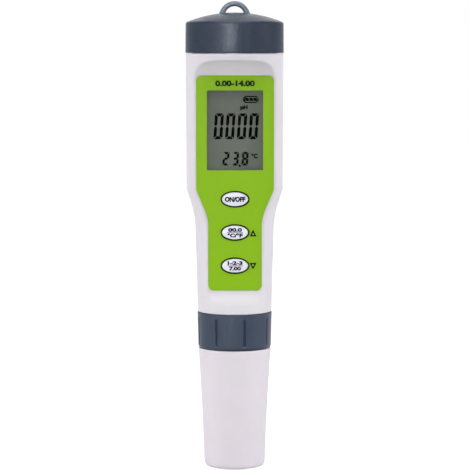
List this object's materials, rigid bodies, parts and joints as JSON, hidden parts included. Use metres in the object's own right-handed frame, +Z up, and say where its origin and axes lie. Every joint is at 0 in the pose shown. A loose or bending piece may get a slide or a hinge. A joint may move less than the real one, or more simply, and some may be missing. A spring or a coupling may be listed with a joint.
{
  "type": "ph tester pen",
  "caption": "Pocket pen tester for water: slim white shell with a flat green front, display and oval keys, a screw cap with a lanyard loop, and a probe under a pull-off cap.",
  "frame": {"origin": "middle of the protective cap's base, on which the pen stands upright", "axes": "+Z up the pen from the protective cap to the lanyard loop; the display and keys face -Y"},
  "size_m": [0.0384, 0.0384, 0.1829],
  "materials": {
    "white_abs": "satin moulded ABS",
    "green_overlay": "printed polycarbonate, satin",
    "dark_ring": "satin",
    "clear_lens": "clear acrylic",
    "frame_plastic": "moulded ABS",
    "lcd_glass": "polarised liquid crystal glass",
    "reflector": "satin film",
    "elastomer": "silicone",
    "circuit_board": "green solder mask",
    "chip_resin": "moulded epoxy",
    "zinc_steel": "zinc plated steel",
    "dark_abs": "moulded ABS",
    "nickel_steel": "nickel plated steel",
    "socket_plastic": "moulded nylon",
    "seal_rubber": "nitrile rubber",
    "slate_abs": "satin moulded ABS",
    "key_plastic": "satin moulded ABS",
    "plunger_plastic": "moulded nylon",
    "probe_abs": "moulded ABS",
    "gold_contact": "gold plated brass",
    "bulb_glass": "thin pH glass",
    "silver_wire": "silver chloride coated silver",
    "porous_ceramic": "unglazed",
    "pin_steel": "stainless steel",
    "collar_abs": "satin moulded ABS",
    "cap_plastic": "satin moulded polypropylene",
    "sponge": "open-cell foam"
  },
  "bodies": {
    "housing": {"housing": "white_abs", "front_panel": "green_overlay", "key_bezels": "dark_ring", "display_window": "clear_lens", "lcd_holder": "frame_plastic", "lcd_glass": "lcd_glass", "lcd_reflector": "reflector", "zebra_strips": "elastomer", "main_board": "circuit_board", "controller_chip": "chip_resin", "board_components": "chip_resin", "tactile_switches": "chip_resin", "chassis": "frame_plastic", "board_screws": "zinc_steel", "battery_neck": "white_abs", "battery_tray": "dark_abs", "button_cells": "nickel_steel", "cell_contacts": "nickel_steel", "probe_socket": "socket_plastic"},
    "cap_seal": {"cap_seal": "seal_rubber"},
    "battery_cap": {"battery_cap": "slate_abs"},
    "key_power": {"key_power": "key_plastic", "plunger_power": "plunger_plastic"},
    "key_hold": {"key_hold": "key_plastic", "plunger_hold": "plunger_plastic"},
    "key_mode": {"key_mode": "key_plastic", "plunger_mode": "plunger_plastic"},
    "probe": {"probe_body": "probe_abs", "probe_guard": "slate_abs", "probe_pins": "gold_contact", "probe_seal": "seal_rubber", "stem_seal": "seal_rubber", "collar_clip": "nickel_steel", "glass_bulb": "bulb_glass", "inner_electrode": "silver_wire", "reference_junction": "porous_ceramic", "conductivity_pins": "pin_steel", "temperature_sensor": "pin_steel"},
    "collar": {"collar": "collar_abs"},
    "protective_cap": {"protective_cap": "cap_plastic", "storage_sponge": "sponge"}
  },
  "joints": [
    {"name": "cap_lift", "type": "slide", "parent": "housing", "child": "cap_seal", "axis": [0, 0, 1], "range_m": [0, 0.01]},
    {"name": "cap_turn", "type": "hinge", "parent": "cap_seal", "child": "battery_cap", "pos_m": [0, 0, 0], "axis": [0, 0, 1], "range_deg": [0, 1440]},
    {"name": "probe_draw", "type": "slide", "parent": "housing", "child": "probe", "axis": [0, 0, -1], "range_m": [0, 0.01]},
    {"name": "collar_turn", "type": "hinge", "parent": "probe", "child": "collar", "pos_m": [0, 0, 0], "axis": [0, 0, -1], "range_deg": [0, 1440]},
    {"name": "cap_pull", "type": "slide", "parent": "probe", "child": "protective_cap", "axis": [0, 0, -1], "range_m": [0, 0.037]},
    {"name": "power_press", "type": "slide", "parent": "housing", "child": "key_power", "axis": [0, 1, 0], "range_m": [0, 0.0005], "stiffness_N_per_m": 600},
    {"name": "hold_press", "type": "slide", "parent": "housing", "child": "key_hold", "axis": [0, 1, 0], "range_m": [0, 0.0005], "stiffness_N_per_m": 600},
    {"name": "mode_press", "type": "slide", "parent": "housing", "child": "key_mode", "axis": [0, 1, 0], "range_m": [0, 0.0005], "stiffness_N_per_m": 600}
  ],
  "couplings": [
    {"joint": "cap_lift", "follows": "cap_turn", "m_per_rad": 0.00039788},
    {"joint": "probe_draw", "follows": "collar_turn", "m_per_rad": 0.00039788}
  ]
}
